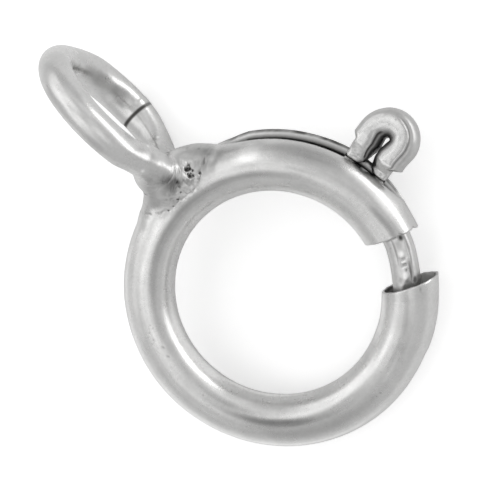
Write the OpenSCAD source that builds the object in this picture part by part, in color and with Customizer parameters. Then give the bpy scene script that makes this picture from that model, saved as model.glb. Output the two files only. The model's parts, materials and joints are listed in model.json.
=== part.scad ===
// Spring ring clasp, closed, lying on a flat surface with its front side up.
// All sizes are in millimetres and all angles in degrees. Angles round the ring
// are counted from the attachment eye, counter-clockwise as seen from the front.

/* [Ring tube] */
// Radius of the circle that the middle of the tube follows
ring_r = 2.5; // [2.3:0.05:4]
// Outer diameter of the tube
tube_d = 1.0; // [0.9:0.01:1.1]
// Wall of the tube
tube_wall = 0.13; // [0.1:0.01:0.17]

/* [Gap for the chain link] */
// Place of the middle of the gap
gap_at = -113.3; // [-118:0.1:-108]
// Width of the saw cut, which has parallel sides
gap_w = 0.94; // [0.7:0.02:1.2]
// Lean of the saw cut from the radial direction
gap_skew = 2.9; // [-4:0.1:6]

/* [Slot for the thumb tab] */
// Closed end of the slot, nearest to the gap
slot_from = -94; // [-97:0.5:-90]
// Other end of the slot, nearest to the eye
slot_to = -21; // [-24:0.5:-19]
// Width of the slot
slot_w = 0.3; // [0.24:0.01:0.36]
// How far the back lip of the slot stands out beyond the tube
lip_rise = 0.12; // [0.04:0.01:0.18]
// Breadth of the back lip, across the slot
lip_w = 0.16; // [0.1:0.01:0.2]

/* [Bolt] */
// Clearance all round between the bolt's wire and the bore of the tube
bolt_gap = 0.11; // [0.08:0.01:0.14]
// Place of the tip of the tongue, inside the lower mouth of the tube
tip_at = -142; // [-146:0.5:-136]
// Length of the bolt's wire past the middle of the tab, where the spring pushes
tail_len = 0.47; // [0.45:0.01:0.7]

/* [Thumb tab] */
// Place of the middle of the tab with the clasp closed
tab_at = -76.7; // [-79:0.1:-74]
// Turn of the tab about its own upright axis
tab_twist = -17; // [-25:1:25]
// Height of the tab above the tube
tab_height = 1.16; // [1.05:0.01:1.4]
// Height above the tube at which the necked feet widen to the full wire
neck_height = 0.27; // [0.22:0.01:0.32]
// Width of each foot along the slot
neck_w = 0.28; // [0.2:0.01:0.32]
// Clearance between the feet and each side of the slot
neck_gap = 0.03; // [0.02:0.005:0.05]
// Width of the eyelet in the middle of the tab
eyelet_d = 0.1; // [0.06:0.01:0.2]

/* [Coil spring] */
// Diameter of the spring's wire
spring_wire = 0.1; // [0.08:0.01:0.12]
// Clearance between the coils and the bore
spring_gap = 0.04; // [0.03:0.01:0.06]
// Distance from one coil to the next with the clasp closed
spring_pitch = 0.24; // [0.2:0.01:0.36]
// Clearance at each end of the spring
spring_end_gap = 0.03; // [0.02:0.01:0.05]
// Place of the middle of the stop that the spring bears on
stop_at = 100; // [80:1:130]
// Thickness of the stop
stop_w = 0.25; // [0.2:0.01:0.4]

/* [Attachment eye] */
// Diameter of the hole in the eye
eye_hole_d = 2.2; // [2:0.05:2.6]
// Diameter of the eye's wire
eye_wire = 0.61; // [0.5:0.01:0.7]
// Depth that the eye is let into the wall of the tube
eye_sink = 0.12; // [0.06:0.01:0.13]

/* [Solder] */
// Radius of the solder bead under the eye
solder_r = 0.42; // [0.36:0.01:0.46]
// Reach of the solder along the tube to each side of the eye
solder_reach = 0.85; // [0.7:0.01:1]
// Radius of the solder where it runs out on the tube
solder_tail_r = 0.1; // [0.06:0.01:0.14]
// Depth of the solder's far ends below the tube's surface line
solder_tail_sink = 0.2; // [0.15:0.01:0.24]

/* [Rest] */
// Direction of the lean, which the weight of the tab turns away from the eye
lean_heading = 7.9; // [-10:0.1:12]

/* [Hidden] */
$fn = 96;
coil_steps = 10;
coil_sides = 5;

// Tube, bolt wire and tab follow from one another through the named clearances.
tube_r = tube_d / 2;
bore_r = tube_r - tube_wall;
bolt_r = bore_r - bolt_gap;
rim_r = ring_r + tube_r;
neck_t = slot_w - 2 * neck_gap;
loop_r = bolt_r + eyelet_d / 2;
loop_at_r = rim_r + tab_height - bolt_r - loop_r;
shoulder_r = rim_r + neck_height;
stop_arc = arc_deg(stop_w);

// The eye stands square to the ring, with its hole's axis along the tube.
eye_r = (eye_hole_d + eye_wire) / 2;
eye_reach = eye_r + eye_wire / 2;
eye_at_r = rim_r - eye_sink + eye_reach;

// The back lip bows out on an arc that meets the tube again at the slot's ends.
lip_mid = (slot_from + slot_to) / 2;
lip_half = (slot_to - slot_from) / 2;
lip_out_r = rim_r + lip_rise;
lip_off = (pow(lip_out_r, 2) - pow(rim_r, 2)) / (2 * (lip_out_r - rim_r * cos(lip_half)));
lip_arc_r = lip_out_r - lip_off;
lip_foot_r = ring_r + sqrt(pow(tube_r - tube_wall / 2, 2) - pow(slot_w / 2, 2));
lip_depth = lip_out_r - lip_foot_r;

// The spring fills the bore from the bolt's tail to the stop.
coil_r = bore_r - spring_gap - spring_wire / 2;
coil_from = tab_at + arc_deg(tail_len + spring_end_gap + spring_wire / 2);
coil_to = stop_at - stop_arc / 2 - arc_deg(spring_end_gap + spring_wire / 2);
coil_turns = floor((coil_to - coil_from) * PI / 180 * ring_r / spring_pitch);
coil_rings = coil_turns * coil_steps;

// At rest the tube's far side and the lowest point of the eye touch the surface.
lean = asin((eye_reach - tube_r) / (ring_r + eye_at_r * cos(lean_heading)));
lift = ring_r * sin(lean) + tube_r;
eye_x = eye_at_r * (cos(lean) * pow(cos(lean_heading), 2) + pow(sin(lean_heading), 2));
x_middle = (eye_x + eye_reach - ring_r * cos(lean) - tube_r) / 2;
tab_y = loop_at_r * sin(tab_at) - loop_r - bolt_r;
y_middle = (rim_r + tab_y) / 2;

// Angle that a length along the middle of the tube covers
function arc_deg(len) = len / ring_r * 180 / PI;

// Direction away from the ring's axis at an angle round the ring
function outward(a) = [cos(a), sin(a), 0];

// Point on the middle of the coil's wire, turn being counted in degrees
function coil_point(a, turn) =
    ring_r * outward(a) + coil_r * (cos(turn) * outward(a) + sin(turn) * [0, 0, 1]);

// One ring of points round the coil's wire at a share s of its length
function coil_ring(s) =
    let (
        a = coil_from + s * (coil_to - coil_from),
        turn = s * 360 * coil_turns,
        side = cos(turn) * outward(a) + sin(turn) * [0, 0, 1],
        ahead = coil_point(a + 0.01 * (coil_to - coil_from) / coil_rings,
            turn + 0.01 * 360 * coil_turns / coil_rings) - coil_point(a, turn),
        run = ahead / norm(ahead),
        over = cross(run, side)
    )
    [for (k = [0 : coil_sides - 1])
        let (w = 360 * k / coil_sides)
        coil_point(a, turn) + spring_wire / 2 * (cos(w) * side + sin(w) * over)];

// Part of a ring of round section, from one angle to another
module arc_bar(mid_r, bar_r, from, to) {
    rotate([0, 0, from])
        rotate_extrude(angle = to - from)
            translate([mid_r, 0])
                circle(r = bar_r);
}

// Puts a piece at an angle of the ring, its own x axis pointing outward
module at_ring(a) {
    rotate([0, 0, a]) children();
}

// Lays the upright ring down so that it rests on the surface by itself
module lie_down() {
    translate([-x_middle, -y_middle, lift])
        rotate([0, 0, lean_heading])
            rotate([0, -lean, 0])
                rotate([0, 0, -lean_heading])
                    children();
}

module eye() {
    translate([eye_at_r, 0, 0])
        rotate([90, 0, 0])
            rotate_extrude()
                translate([eye_r, 0])
                    circle(r = eye_wire / 2);
}

// Bead under the eye with a tail that runs out along the tube on each side
module solder() {
    tail_drop = atan(solder_tail_sink / solder_reach);
    translate([rim_r, 0, 0]) {
        sphere(r = solder_r);
        for (side = [-1, 1])
            rotate([0, 0, side * tail_drop])
                rotate([-side * 90, 0, 0])
                    cylinder(h = solder_reach, r1 = solder_r, r2 = solder_tail_r);
    }
}

// Back lip of the slot, bent outward
module slot_lip() {
    at_ring(lip_mid)
        translate([lip_off, 0, 0])
            rotate([0, 0, -lip_half])
                rotate_extrude(angle = 2 * lip_half)
                    translate([lip_arc_r - lip_depth, -slot_w / 2 - lip_w])
                        square([lip_depth, lip_w]);
}

module slot_cut() {
    at_ring(slot_from)
        rotate_extrude(angle = slot_to - slot_from)
            translate([ring_r, -slot_w / 2])
                square([tube_d, slot_w]);
}

module gap_cut() {
    at_ring(gap_at)
        translate([ring_r, 0, 0])
            rotate([0, 0, gap_skew])
                cube([2 * tube_d, gap_w, 2 * tube_d], center = true);
}

module body_ring() {
    color("silver")
        lie_down()
            difference() {
                union() {
                    arc_bar(ring_r, tube_r, 0, 360);
                    eye();
                    solder();
                    slot_lip();
                }
                arc_bar(ring_r, bore_r, stop_at + stop_arc / 2, stop_at + 360 - stop_arc / 2);
                slot_cut();
                gap_cut();
            }
}

// Loop of the bolt's own wire on two short legs
module tab_head() {
    leg_len = loop_at_r - shoulder_r;
    translate([loop_at_r, 0, 0])
        rotate([tab_twist, 0, 0]) {
            rotate([0, 0, -90])
                rotate_extrude(angle = 180)
                    translate([loop_r, 0])
                        circle(r = bolt_r);
            for (side = [-1, 1])
                translate([0, side * loop_r, 0])
                    rotate([0, -90, 0])
                        cylinder(h = leg_len, r = bolt_r);
        }
}

module tab_feet() {
    foot_len = tab_height - loop_r + tube_r - bolt_r;
    for (side = [-1, 1])
        translate([ring_r, side * loop_r - neck_w / 2, -neck_t / 2])
            cube([foot_len, neck_w, neck_t]);
}

module bolt() {
    color("gainsboro")
        lie_down() {
            arc_bar(ring_r, bolt_r, tip_at, tab_at + arc_deg(tail_len));
            at_ring(tab_at) {
                tab_head();
                tab_feet();
            }
        }
}

module coil_spring() {
    last = (coil_rings + 1) * coil_sides - 1;
    color("darkgray")
        lie_down()
            polyhedron(
                points = [for (i = [0 : coil_rings]) each coil_ring(i / coil_rings)],
                faces = concat(
                    [[for (k = [0 : coil_sides - 1]) k]],
                    [for (i = [0 : coil_rings - 1], k = [0 : coil_sides - 1])
                        let (a = i * coil_sides, b = a + coil_sides, n = (k + 1) % coil_sides)
                        [a + k, b + k, b + n, a + n]],
                    [[for (k = [0 : coil_sides - 1]) last - k]]
                )
            );
}

body_ring();
bolt();
coil_spring();
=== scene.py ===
# Spring ring clasp in silver, lying closed on a pale table. Lengths are in millimetres, angles in degrees,
# and points in the ring's own axes: x towards the eye, z out of the front, origin at the ring's centre.
import json

import bmesh
import bpy
import numpy as np
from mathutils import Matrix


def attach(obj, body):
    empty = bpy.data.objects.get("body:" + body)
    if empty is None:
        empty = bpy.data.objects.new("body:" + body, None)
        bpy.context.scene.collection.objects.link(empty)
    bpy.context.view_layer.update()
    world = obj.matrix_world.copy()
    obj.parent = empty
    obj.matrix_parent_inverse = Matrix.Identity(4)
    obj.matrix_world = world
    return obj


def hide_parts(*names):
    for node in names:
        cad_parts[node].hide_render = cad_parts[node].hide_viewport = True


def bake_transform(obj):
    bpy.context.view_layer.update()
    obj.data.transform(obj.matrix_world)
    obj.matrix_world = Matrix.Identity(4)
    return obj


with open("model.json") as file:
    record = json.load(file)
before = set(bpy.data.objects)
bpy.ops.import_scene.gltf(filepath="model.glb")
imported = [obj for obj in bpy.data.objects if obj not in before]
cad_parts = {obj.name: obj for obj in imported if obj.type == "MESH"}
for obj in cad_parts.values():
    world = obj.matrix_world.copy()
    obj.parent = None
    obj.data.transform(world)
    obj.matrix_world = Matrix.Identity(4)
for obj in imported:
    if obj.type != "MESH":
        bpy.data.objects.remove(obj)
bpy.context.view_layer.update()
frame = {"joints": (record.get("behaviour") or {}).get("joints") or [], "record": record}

mm = 0.001


def unit(v):
    # v, or each row of v, brought to length one
    return v / (np.linalg.norm(v) if v.ndim == 1 else np.linalg.norm(v, axis=1, keepdims=True))


hinge = frame["joints"][0]
mountPlaces = {m["name"]: np.array(m["pos_m"]) for m in frame["record"]["mounts"]}
ringCentre = np.array(hinge["pos_m"])
ringAxis = unit(np.array(hinge["axis"]))
eyeward = mountPlaces["attachment_eye"] - ringCentre
eyeward = unit(eyeward - ringAxis * (eyeward @ ringAxis))
ringTurn = np.stack([eyeward, np.cross(ringAxis, eyeward), ringAxis])  # rows are the ring's x, y and z


def place(points):
    # ring's own millimetres to the shared frame's metres: a turn, then a shift to the ring's centre
    return ringCentre + np.reshape(points, (-1, 3)) @ ringTurn * mm


def polar(radius, angle, height=0.0):
    # a point at a radius and an angle round the ring's axis
    turn = np.radians(angle)
    return np.stack(np.broadcast_arrays(radius * np.cos(turn), radius * np.sin(turn), height), -1)


def ease(x, start, end):
    # 3t^2 - 2t^3, t going from 0 at start to 1 at end
    t = np.clip((x - start) / (end - start), 0, 1)
    return t * t * (3 - 2 * t)


def window(x, start, full, fade, end):
    # one from full to fade, nought before start and after end
    return ease(x, start, full) * (1 - ease(x, fade, end))


def hill(x, width, power=2):
    # one at x = 0, and e^-1 at the width on both sides
    return np.exp(-(x / width) ** power)


def addObject(name, data):
    made = bpy.data.objects.new(name, data)
    bpy.context.scene.collection.objects.link(made)
    return made


def aim(made, spot, back, up):
    # puts a camera or lamp at a spot of the shared frame, with back and up as its own z and y directions
    right = unit(np.cross(up, back))
    matrix = np.eye(4)
    matrix[:3, :3] = np.stack([right, np.cross(back, right), back]).T
    matrix[:3, 3] = spot
    made.matrix_world = matrix.T.tolist()


# camera at the photo's angle to the clasp
photoCamera = {
    "distance": 17.884,     # from the ring's centre
    "tilt": 18.654,         # off the ring's axis
    "heading": -81.215,     # direction of the tilt round the ring
    "aimRadius": 0.9794,    # point of the ring's plane in the middle of the picture
    "aimHeading": -13.514,
    "upHeading": -42.761,   # direction of the ring's plane that is up in the picture
    "lens": 67.778,
    "sensor": 36.0,
    "near": 0.001,          # nearest and furthest that it sees, in metres
    "far": 2.0,
}


def addCamera(c):
    tilt = np.radians(c["tilt"])
    eyePoint = polar(c["distance"] * np.sin(tilt), c["heading"], c["distance"] * np.cos(tilt))
    back = unit(eyePoint - polar(c["aimRadius"], c["aimHeading"]))
    data = bpy.data.cameras.new("photoCamera")
    data.lens = c["lens"]
    data.sensor_width = c["sensor"]
    data.clip_start = c["near"]
    data.clip_end = c["far"]
    camera = addObject("photoCamera", data)
    aim(camera, place(eyePoint)[0], back @ ringTurn, polar(1.0, c["upHeading"]) @ ringTurn)
    bpy.context.scene.camera = camera


addCamera(photoCamera)
print("camera placed")


# mesh helpers
def latticeNoise(points, size, seed=0):
    # random values at the corners of cubes of that size, joined smoothly in between, from -1 to 1
    p = np.reshape(points, (-1, 3)) / size + 100.0
    cell = np.floor(p).astype(np.int64)
    t = p - cell
    t = t * t * (3 - 2 * t)
    total = np.zeros(len(p))
    for corner in np.ndindex(2, 2, 2):
        q = cell + corner
        mixed = q[:, 0] * 374761393 + q[:, 1] * 668265263 + q[:, 2] * 2147483647 + seed * 1274126177
        mixed = (mixed ^ (mixed >> 13)) * 1274126177 & 0xFFFFFFFF
        value = ((mixed ^ (mixed >> 16)) & 0xFFFF) / 32767.5 - 1
        total += np.prod(np.where(np.array(corner) == 1, t, 1 - t), 1) * value
    return total.reshape(np.shape(points)[:-1])


def gridFaces(rows, columns, closeRows=False, closeColumns=False):
    # quads between neighbouring rows and columns of a grid of points
    r = np.arange(rows if closeRows else rows - 1)[:, None]
    c = np.arange(columns if closeColumns else columns - 1)[None, :]
    nextRow, nextColumn = (r + 1) % rows, (c + 1) % columns
    corners = ((r, c), (r, nextColumn), (nextRow, nextColumn), (nextRow, c))
    quads = [row * columns + column for row, column in corners]
    return np.stack(np.broadcast_arrays(*quads), -1).reshape(-1, 4)


def fanFaces(loop, pole):
    # triangles from a closed loop of points to one point
    return np.stack([loop, np.roll(loop, -1), np.full(len(loop), pole)], -1)


def editMesh(mesh, change):
    # runs a change on the mesh's points, edges and faces
    shell = bmesh.new()
    shell.from_mesh(mesh)
    change(shell)
    shell.to_mesh(mesh)
    shell.free()


def buildMesh(name, points, faces, marks):
    # a mesh in the ring's millimetres; points closer than 0.0001 mm are welded, faces turned outwards
    rounded = np.round(points * 1e4).astype(np.int64)
    _, first, index = np.unique(rounded, axis=0, return_index=True, return_inverse=True)
    index = index.reshape(-1)
    cleaned = []
    for f in faces:
        f = index[f]
        double = f == np.roll(f, 1, 1)
        cleaned += f[double.sum(1) == 0].tolist()
        if f.shape[1] == 4:
            once = double.sum(1) == 1
            cleaned += f[once][~double[once]].reshape(-1, 3).tolist()
    mesh = bpy.data.meshes.new(name)
    mesh.from_pydata(points[first].tolist(), [], cleaned)
    for key, values in marks.items():
        writeMark(mesh, key, values[first])
    editMesh(mesh, lambda shell: bmesh.ops.recalc_face_normals(shell, faces=shell.faces))
    return mesh


def readRows(source, key, width, kind=np.float32):
    values = np.empty(len(source) * width, kind)
    source.foreach_get(key, values)
    return values.reshape(-1, width)


def readPoints(mesh, key="co"):
    return readRows(mesh.vertices, key, 3).astype(float)


def writeMark(mesh, key, values):
    kind, field = ("FLOAT_VECTOR", "vector") if np.ndim(values) == 2 else ("FLOAT", "value")
    layer = mesh.attributes.get(key) or mesh.attributes.new(key, kind, "POINT")
    layer.data.foreach_set(field, values.astype(np.float32).ravel())


def writePoints(mesh, points):
    mesh.vertices.foreach_set("co", points.astype(np.float32).ravel())
    mesh.update()


def uniteMeshes(name, first, second):
    # one closed mesh from two that overlap
    scratch = [addObject("scratch", m) for m in (first, second)]
    union = scratch[0].modifiers.new("union", "BOOLEAN")
    union.operation = "UNION"
    union.solver = "EXACT"
    union.object = scratch[1]
    graph = bpy.context.evaluated_depsgraph_get()
    mesh = bpy.data.meshes.new_from_object(scratch[0].evaluated_get(graph))
    mesh.name = name
    for piece in scratch:
        bpy.data.objects.remove(piece)
    return mesh


def seatPiece(mesh, body, nodes=()):
    # carries a mesh to its place in the shared frame and lets it ride on its body
    name = mesh.name
    writePoints(mesh, place(readPoints(mesh)))
    mesh.shade_smooth()
    piece = addObject(name, mesh)
    if body:
        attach(piece, body)
    if nodes:
        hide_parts(*nodes)
    triangles = len(mesh.loops) - 2 * len(mesh.polygons)
    print(name, "made,", len(mesh.vertices), "points,", triangles, "triangles")
    return piece


def pathLengths(path):
    # length of the way along a path up to each of its points
    return np.concatenate([[0], np.cumsum(np.linalg.norm(np.diff(path, axis=0), axis=1))])


def sweep(path, side, over, sections):
    # carries closed sections along a path; sections[i, j] holds a point's share along side and along over
    rows, columns = sections.shape[:2]
    points = path[:, None] + sections[..., :1] * side[:, None] + sections[..., 1:] * over[:, None]
    points = np.concatenate([points.reshape(-1, 3), path[:1], path[-1:]])
    total = rows * columns
    faces = [
        gridFaces(rows, columns, closeColumns=True),
        fanFaces(np.arange(columns), total),
        fanFaces(np.arange(total - columns, total), total + 1),
    ]
    return points, faces


def runMark(lengths, sections):
    # straightened place of each point of a sweep: length along it, then its two shares across
    along = np.broadcast_to(lengths[:, None, None], sections.shape[:2] + (1,))
    mark = np.concatenate([along, sections], -1).reshape(-1, 3)
    ends = np.array([[lengths[0], 0, 0], [lengths[-1], 0, 0]])
    return np.concatenate([mark, ends])


# one field for tube, eye and solder, so that both meshes meet on the same surface
ring = {"radius": 2.5, "tube": 0.5, "wall": 0.13}
eye = {
    "centre": 4.59,
    "radius": 1.405,
    "wire": 0.305,
    "lean": 0.045,          # shift towards the slot for each millimetre of height
    "yaw": 0.026,           # shift away from the slot for each millimetre outwards,
    "yawFrom": 3.2,         # counted from here
    "slimmer": 0.42,        # share that the side away from the slot lacks, and the angles round the eye
    "slimAngles": (168, 188, 215, 262),
    "nearSlimmer": 0.3,     # the same for the slot's side
    "nearSlimAngles": (124, 146, 166, 184),
    "broader": 0.25,        # share that the lower arm has more
    "broadAngles": (205, 250, 318, 358),
    "broadLater": 35,       # degrees that this begins later on the side away from the slot
    "shoulder": 0.06,       # the same on the upper arm, on the slot's side
    "shoulderAngles": (20, 50, 110, 150),
    "jointAt": 267.7,       # angle round the eye of its open joint
    "jointWidth": 1.9,
    "jointDepth": 0.11,
    "step": 0.014,          # one end of the wire stands out sideways beside the joint
    "sink": 0.7,            # share of the tube's wall that the foot is let into
    "stations": 300,
    "columns": 64,
}
solder = {
    "spread": 0.36,         # reach of the fillet between tube and eye
    "rodSpread": 0.30,      # reach of the fillet round each rod of solder
    "roughSize": 0.05,
    "roughDepth": 0.009,
    "flowSteps": 30,
    "evening": 40,          # steps of evening out
    "moved": 0.004,         # points that flow further than this are evened out
    "dull": 0.35,           # how much less it shines than the tube
}
paintedLightRange = (-1.8, 1.3)  # least and most that all painted highlight and painted shade patches together come to
solderRods = [  # start, radius there, end, radius there
    (3.42, -0.12, 0.80, 0.23, 2.80, -0.32, 0.49, 0.12),
    (3.03, -0.42, 0.12, 0.25, 2.76, -0.85, 0.14, 0.19),
    (2.88, 0.22, 0.22, 0.26, 2.66, 0.68, 0.12, 0.19),
    (2.82, 0.24, 0.18, 0.27, 2.81, -0.62, 0.20, 0.27),
    (3.22, 0.14, 0.52, 0.24, 2.84, 0.02, 0.36, 0.23),
    (2.86, 0.26, -0.15, 0.24, 2.86, -0.55, -0.15, 0.25),
]
# the front is seen at a slant: shift along x and y for each millimetre of height
frontSlant = np.array([-0.11, -0.325])
pits = [  # place as seen from the front, radius, depth
    (2.825, -0.505, 0.038, 0.1), (2.865, -0.575, 0.026, 0.05), (2.8, -0.545, 0.026, 0.06),
    (2.735, -0.565, 0.024, 0.05), (2.69, -0.45, 0.034, 0.07), (2.66, -0.5, 0.026, 0.05),
    (2.745, -0.455, 0.02, 0.04), (2.715, -0.5, 0.018, 0.03), (2.7, -0.31, 0.022, 0.03),
    (2.52, 0.02, 0.02, 0.02), (2.5, 0.17, 0.018, 0.016), (2.61, -0.64, 0.03, 0.03),
    (2.5, 0.3, 0.018, 0.016), (2.6, -0.12, 0.02, 0.02),
]
stains = [  # place as seen from the front, radius, darkness
    (3.28, -0.43, 0.045, 0.6), (3.24, -0.38, 0.035, 0.5), (2.86, -0.13, 0.07, 0.6),
    (2.76, -0.06, 0.08, 0.65), (2.77, -0.18, 0.08, 0.8), (2.83, -0.19, 0.04, 0.9),
    (2.7, -0.18, 0.04, 0.8), (2.84, -0.05, 0.05, 0.7), (2.58, 0.1, 0.05, 0.3), (2.62, -0.64, 0.045, 0.4),
    (3.74, -0.36, 0.06, 0.35), (3.4, 0.16, 0.04, 0.25), (3.1, -0.8, 0.04, 0.3), (2.95, -0.93, 0.03, 0.35),
]
paintedLightStreaks = [  # painted highlight and painted shade streaks: start and end as seen from the front, half width, amount
    (3.49, -0.11, 3.23, -0.18, 0.035, 0.1), (3.23, -0.18, 2.73, -0.34, 0.06, 0.9),
    (2.97, -0.55, 2.93, -0.52, 0.055, 0.9), (2.88, -0.13, 2.74, -0.02, 0.11, -0.9),
    (2.5, -0.33, 2.47, -0.1, 0.045, 0.5), (2.62, -0.25, 2.6, -0.05, 0.05, 0.4),
    (3.1, 0.3, 2.75, 0.4, 0.1, -0.5), (2.75, -0.25, 2.95, -0.02, 0.09, -0.9),
    (3.17, -0.76, 2.79, -1.07, 0.14, -0.45), (3.2, 0.05, 2.9, 0.05, 0.12, -0.5),
    (2.8, -0.99, 2.67, -0.84, 0.1, -0.55), (2.72, -0.8, 2.6, -0.72, 0.09, -0.5),
]
lumps = [  # place as seen from the front, radius, height
    (2.955, -0.545, 0.055, 0.03), (2.78, -0.345, 0.05, 0.022), (2.65, -0.38, 0.05, 0.014),
    (2.6, -0.25, 0.055, 0.012), (2.57, -0.55, 0.06, 0.012), (2.85, -0.7, 0.07, 0.01),
]
solderEdge = np.array([  # outline of the solder on the tube, as seen from the front
    (2.86, 0.74), (2.69, 0.62), (2.56, 0.44), (2.48, 0.21), (2.51, 0.02), (2.47, -0.14), (2.46, -0.29),
    (2.47, -0.46), (2.58, -0.63), (2.67, -0.8), (2.78, -0.93),
])


def ringAngle(p):
    return np.degrees(np.arctan2(p[..., 1], p[..., 0]))


def ringOut(p):
    # distance outwards from the middle of the tube, seen along the ring's axis
    return np.hypot(p[..., 0], p[..., 1]) - ring["radius"]


def tubeDistance(p):
    return np.hypot(ringOut(p), p[..., 2]) - ring["tube"]


def eyePolar(p):
    # distance outwards from the middle of the eye's wire, and angle round the eye
    x, z = p[..., 0] - eye["centre"], p[..., 2]
    return np.hypot(x, z) - eye["radius"], np.degrees(np.arctan2(z, x))


def eyeShift(p):
    # the eye stands a little askew
    return eye["yaw"] * np.maximum(p[..., 0] - eye["yawFrom"], 0) - eye["lean"] * p[..., 2]


def eyeBreadth(phi, across):
    # the arm that lies lower is broader, and both sides are pressed thinner near the foot
    low, near = across < 0, across > 0
    slim = 1 - eye["slimmer"] * window(phi, *eye["slimAngles"]) * low
    slim = slim - eye["nearSlimmer"] * window(phi, *eye["nearSlimAngles"]) * near
    start, full, fade, end = eye["broadAngles"]
    later = eye["broadLater"] * low
    broad = 1 + eye["broader"] * window(phi, start + later, full + later, fade, end)
    return slim * broad * (1 + eye["shoulder"] * window(phi, *eye["shoulderAngles"]) * near)


def eyeDistance(p):
    out, phi = eyePolar(p)
    phi = phi % 360
    across = p[..., 1] - eyeShift(p)
    across = across / eyeBreadth(phi, across)
    return np.hypot(out, across) - eye["wire"]


def softUnion(a, b, spread):
    # the smaller distance, less a quarter of (spread - difference)^2 / spread where both are close
    close = np.maximum(spread - np.abs(a - b), 0)
    return np.minimum(a, b) - close * close / spread / 4


def lineDistance(p, start, end):
    # distance to the line between two points, and share of its length at which it is nearest
    run = np.subtract(end, start)
    share = np.clip((p - start) @ run / (run @ run), 0, 1)
    return np.linalg.norm(p - start - share[..., None] * run, axis=-1), share


def solderField(p):
    # distance to the outer surface, below nought inside the metal
    field = softUnion(tubeDistance(p), eyeDistance(p), solder["spread"])
    for rod in solderRods:
        away, share = lineDistance(p, rod[0:3], rod[4:7])
        field = softUnion(field, away - rod[3] - share * (rod[7] - rod[3]), solder["rodSpread"])
    return field


def fieldNormal(p):
    step = 1e-3
    slope = np.stack([solderField(p + step * d) - solderField(p - step * d) for d in np.eye(3)], -1)
    return slope / np.maximum(np.linalg.norm(slope, axis=-1, keepdims=True), 1e-9)


def flowToSolder(points, edges):
    # points inside the solder move along the field's slope until the field is nought there;
    # then those points are evened out along the surface, each halfway to the mean of its neighbours
    near = (points[:, 0] > 1.6) & (np.abs(points[:, 1]) < 1.7) & (points[:, 0] < 4.7)
    near &= tubeDistance(points) > -0.01
    moved = points.copy()
    for _ in range(solder["flowSteps"]):
        p = moved[near]
        moved[near] = p - 0.8 * np.minimum(solderField(p), 0)[:, None] * fieldNormal(p)
    raised = np.linalg.norm(moved - points, axis=1) > solder["moved"]
    loose = np.flatnonzero(raised)
    links = np.concatenate([edges, edges[:, ::-1]])
    links = links[raised[links[:, 0]]]
    start, end = links.T
    count = np.maximum(np.bincount(start, minlength=len(points)), 1)[:, None]
    for _ in range(solder["evening"]):
        mean = np.stack([np.bincount(start, axis, len(points)) for axis in moved[end].T], -1) / count
        p = (moved[loose] + mean[loose]) / 2
        moved[loose] = p - solderField(p)[:, None] * fieldNormal(p)
    return moved


def blot(seen, x, y, size):
    return hill(np.hypot(seen[:, 0] - x, seen[:, 1] - y), size, 2.5)


def edgeDistance(seen):
    # distance to the outline's nearest stretch
    return np.min([lineDistance(seen, a, b)[0] for a, b in zip(solderEdge[:-1], solderEdge[1:])], axis=0)


def fromFront(p):
    # place as seen from the front, where a slanting look meets the tube's foremost height
    return p[:, :2] - frontSlant * (p[:, 2:] - ring["tube"])


def solderToneAndPaintedLight(p):
    # painted highlight and painted shade streaks on the front of the solder and round it, and the solder
    # itself a little duller than the tube
    front = ease(p[:, 2], 0.0, 0.25) * (1 - ease(eyeDistance(p), 0.85, 1.05))
    front = front * (p[:, 0] > 2) * (np.abs(p[:, 1]) < 1.4)
    wobble = latticeNoise(p, solder["roughSize"] * 0.6, 7)
    seen = fromFront(p) + 0.012 * wobble[:, None]
    total = np.zeros(len(p))
    for x0, y0, x1, y1, size, amount in paintedLightStreaks:
        share = hill(lineDistance(seen, (x0, y0), (x1, y1))[0], size, 2.5)
        total += amount * share * (0.85 + 0.4 * wobble)
    inSolder = ease(-solderField(p) + tubeDistance(p), 0.0, 0.1) * (1 - ease(p[:, 0], 2.95, 3.3))
    return (total - solder["dull"] * inSolder) * front


def solderTexture(p):
    # height of lumps and pits, and masks of the rough patch and of the darkening (dirt patches, stains,
    # darker pits and a darker line along the solder's edge), as functions of place only
    seen = fromFront(p)
    away = tubeDistance(p)
    front = ease(p[:, 2], 0.12, 0.3) * (1 - ease(away, 0.45, 0.6))
    patch = np.exp(-(((seen[:, 0] - 2.72) / 0.3) ** 4 + ((seen[:, 1] + 0.25) / 0.5) ** 4)) * front
    wobble = latticeNoise(p, solder["roughSize"], 3) + 0.6 * latticeNoise(p, solder["roughSize"] * 0.45, 5)
    broad = latticeNoise(p, 0.22, 6)
    wander = np.stack([wobble, broad], 1)
    inSolder = ease(-solderField(p) + away, 0.0, 0.05) * (1 - ease(away, 0.5, 0.7))
    height = solder["roughDepth"] * wobble * patch + 0.008 * broad * inSolder
    dirtAndShade = patch * ease(-wobble, -0.2, 1.0) * 0.45
    edge = edgeDistance(seen + 0.02 * wander)
    rim = hill(edge, 0.022) * front * ease(latticeNoise(p, 0.07, 8), -0.5, 0.4)
    faint = 1 - 0.7 * ease(seen[:, 1], 0.2, 0.45)
    height = height - 0.010 * rim * faint + 0.008 * hill(edge - 0.045, 0.03) * front * faint
    dirtAndShade = np.maximum(dirtAndShade, 0.55 * rim)
    for x, y, size, high in lumps:
        height = height + high * blot(seen, x, y, size) * front
    for x, y, size, dark in stains:
        dirtAndShade = np.maximum(dirtAndShade, dark * blot(seen, x, y, size) * front * (0.75 + 0.9 * wobble))
    for x, y, size, deep in pits:
        gone = blot(seen + 0.014 * wander, x, y, size) * front
        height = height - deep * gone
        dirtAndShade = np.maximum(dirtAndShade, gone)
    return height, patch, np.clip(dirtAndShade, 0, 1)


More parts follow.
